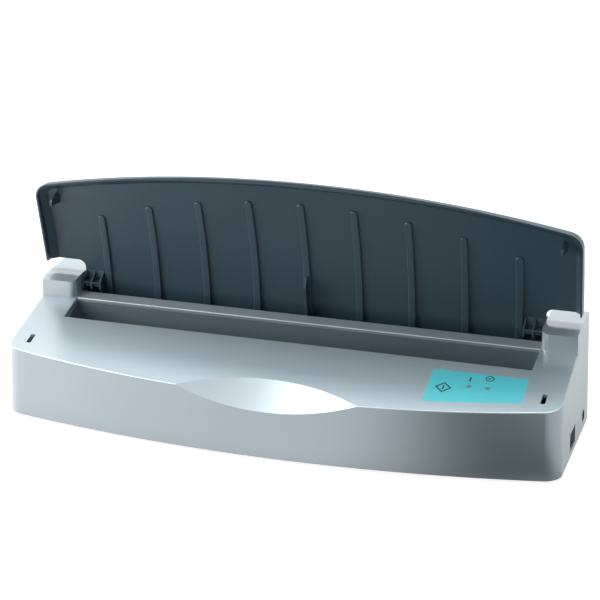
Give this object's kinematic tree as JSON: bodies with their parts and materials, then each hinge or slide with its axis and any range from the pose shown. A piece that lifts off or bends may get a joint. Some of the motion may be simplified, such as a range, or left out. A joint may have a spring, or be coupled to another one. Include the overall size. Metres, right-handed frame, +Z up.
{
  "type": "thermal binding machine",
  "caption": "Desktop thermal binding machine: long bow-fronted body with a heated binding slot and a wide hinged lid, shown open.",
  "frame": {"origin": "on the table under the middle of the body", "axes": "+X along the machine to the right, +Y to the rear, +Z up"},
  "size_m": [0.4, 0.1306, 0.1746],
  "materials": {
    "silver_plastic": "silver-grey, fine satin grain",
    "base_plastic": "dark grey moulded",
    "foot_rubber": "matt black",
    "screw_steel": "zinc plated",
    "liner_plastic": "dark grey satin",
    "platen_aluminium": "plain",
    "heat_resin": "heat-resistant black",
    "heater_aluminium": "plain",
    "spring_steel": "bright",
    "lead_tin": "tinned",
    "circuit_board": "green solder mask",
    "black_resin": "black",
    "capacitor_resin": "yellow",
    "connector_plastic": "off-white",
    "label_film": "turquoise printed film",
    "key_film": "turquoise with a black border",
    "lamp_lens": "smoke grey, unlit",
    "switch_plastic": "black",
    "lead_sheath": "black sheath",
    "lead_sleeve": "glass-fibre sleeve",
    "ribbon_plastic": "grey",
    "pin_steel": "bright",
    "lid_plastic": "dark slate grey, fine satin grain"
  },
  "bodies": {
    "root": {"top_housing": "silver_plastic", "base_plate": "base_plastic", "rubber_feet": "foot_rubber", "housing_screws": "screw_steel", "slot_liner": "liner_plastic", "heating_platen": "platen_aluminium", "heater_carrier": "heat_resin", "ptc_heaters": "heater_aluminium", "heater_springs": "spring_steel", "thermostat": "heat_resin", "thermal_fuse": "lead_tin", "control_board": "circuit_board", "board_screws": "screw_steel", "transformer": "black_resin", "relay": "black_resin", "film_capacitor": "capacitor_resin", "control_chip": "black_resin", "buzzer": "black_resin", "terminal_block": "connector_plastic", "heater_connector": "connector_plastic", "ribbon_connector": "connector_plastic", "control_label": "label_film", "key_board": "circuit_board", "power_lamp": "lamp_lens", "ready_lamp": "lamp_lens", "start_switch": "black_resin", "key_board_screws": "screw_steel", "power_switch": "switch_plastic", "switch_terminals": "lead_tin", "cord_gland": "foot_rubber", "mains_leads": "lead_sheath", "heater_leads": "lead_sleeve", "signal_ribbon": "ribbon_plastic", "hinge_pin_left": "pin_steel", "hinge_pin_right": "pin_steel"},
    "lid": {"lid": "lid_plastic"},
    "start_key": {"start_key": "key_film", "start_button": "black_resin"},
    "power_rocker": {"power_rocker": "switch_plastic"}
  },
  "joints": [
    {"name": "lid_hinge", "type": "hinge", "parent": "root", "child": "lid", "pos_m": [0, 0.0368, 0.0736], "axis": [1, 0, 0], "range_deg": [0, 90.6]},
    {"name": "start_key_press", "type": "slide", "parent": "root", "child": "start_key", "axis": [0, 0.2409, -0.9705], "range_m": [0, 0.0005], "stiffness_N_per_m": 3000, "springref_m": -0.0002},
    {"name": "power_rocker_tilt", "type": "hinge", "parent": "root", "child": "power_rocker", "pos_m": [0.19407, 0.0053, 0.0126], "axis": [0, 0, 1], "range_deg": [0, 16]}
  ]
}
